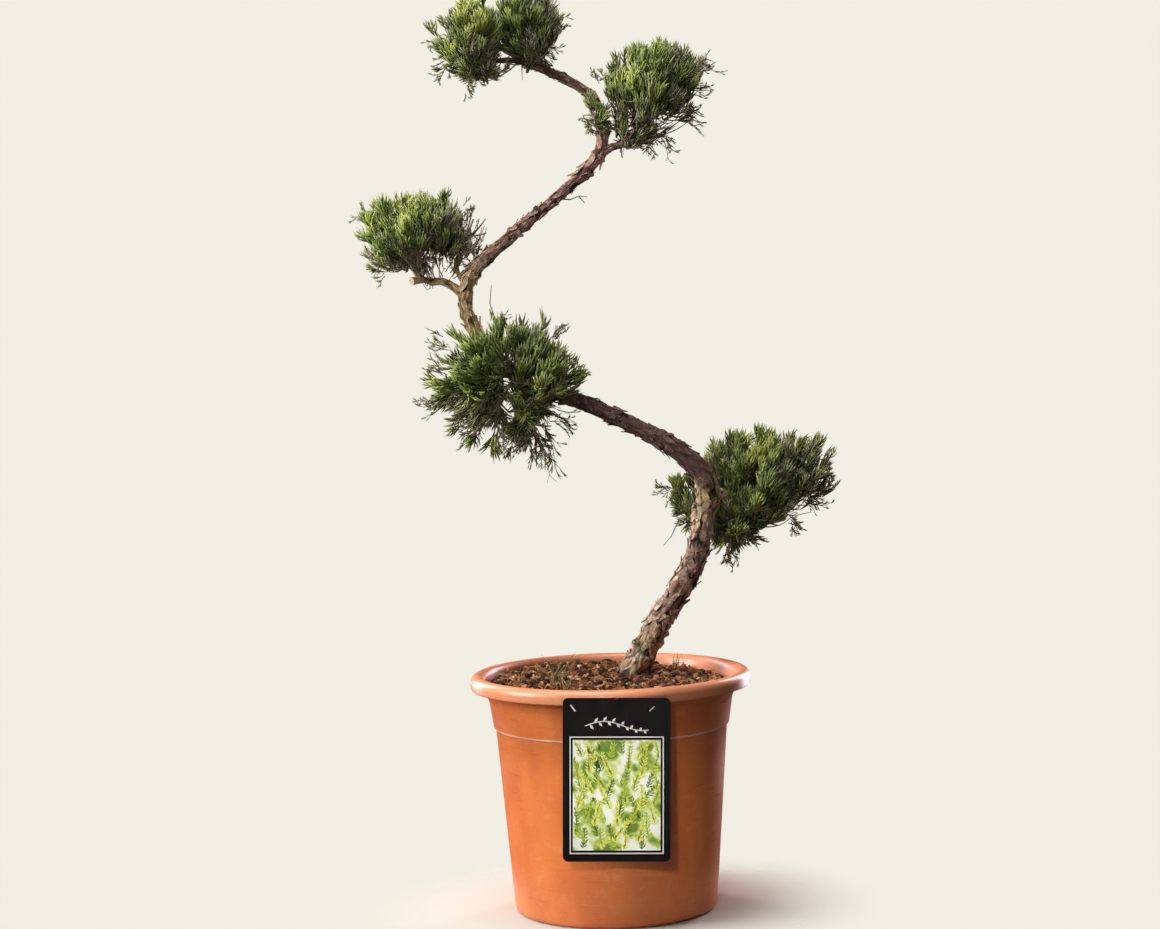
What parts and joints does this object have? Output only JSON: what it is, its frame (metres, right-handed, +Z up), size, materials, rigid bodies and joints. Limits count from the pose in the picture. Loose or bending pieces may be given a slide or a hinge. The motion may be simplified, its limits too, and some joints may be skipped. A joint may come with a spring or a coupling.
{
  "type": "potted juniper bonsai",
  "caption": "Juniper with a bent, zigzag trunk and clipped cloud-like masses of foliage, in a round pot with a rolled rim and a picture card hung on it.",
  "frame": {"origin": "centre of the pot's flat underside", "axes": "+Z up, +X to the right as seen from the side of the pot that carries the card, +Y away from that side"},
  "size_m": [0.4665, 0.2835, 0.9313],
  "materials": {
    "terracotta_coloured_plastic": "satin, moulded, orange-brown terracotta colour",
    "potting_mix": "loose chips of bark and coir, dry and matt",
    "printed_plastic_card": "thin printed card, black with a pale green leafy picture in a white line",
    "black_plastic": "small moulded peg",
    "bark": "scaly grey-brown to reddish-brown bark",
    "juniper_foliage": "fine scale-leaved green sprays"
  },
  "bodies": {
    "root": {"pot": "terracotta_coloured_plastic", "potting_mix": "potting_mix", "picture_card": "printed_plastic_card", "card_peg": "black_plastic", "trunk_foot": "bark", "trunk_second": "bark", "trunk_third": "bark", "trunk_fourth": "bark", "trunk_leader": "bark", "bough_low_main": "bark", "bough_low_left": "bark", "bough_mid_left": "bark", "bough_mid_right": "bark", "bough_mid_tail": "bark", "bough_left_main": "bark", "bough_left_inner": "bark", "bough_right_main": "bark", "bough_top_left": "bark", "bough_top_right": "bark", "foliage_low_main": "juniper_foliage", "foliage_low_left": "juniper_foliage", "foliage_mid_left": "juniper_foliage", "foliage_mid_right": "juniper_foliage", "foliage_mid_tail": "juniper_foliage", "foliage_left_main": "juniper_foliage", "foliage_left_inner": "juniper_foliage", "foliage_right_main": "juniper_foliage", "foliage_right_sleeve": "juniper_foliage", "foliage_top_left": "juniper_foliage", "foliage_top_right": "juniper_foliage"}
  },
  "joints": []
}
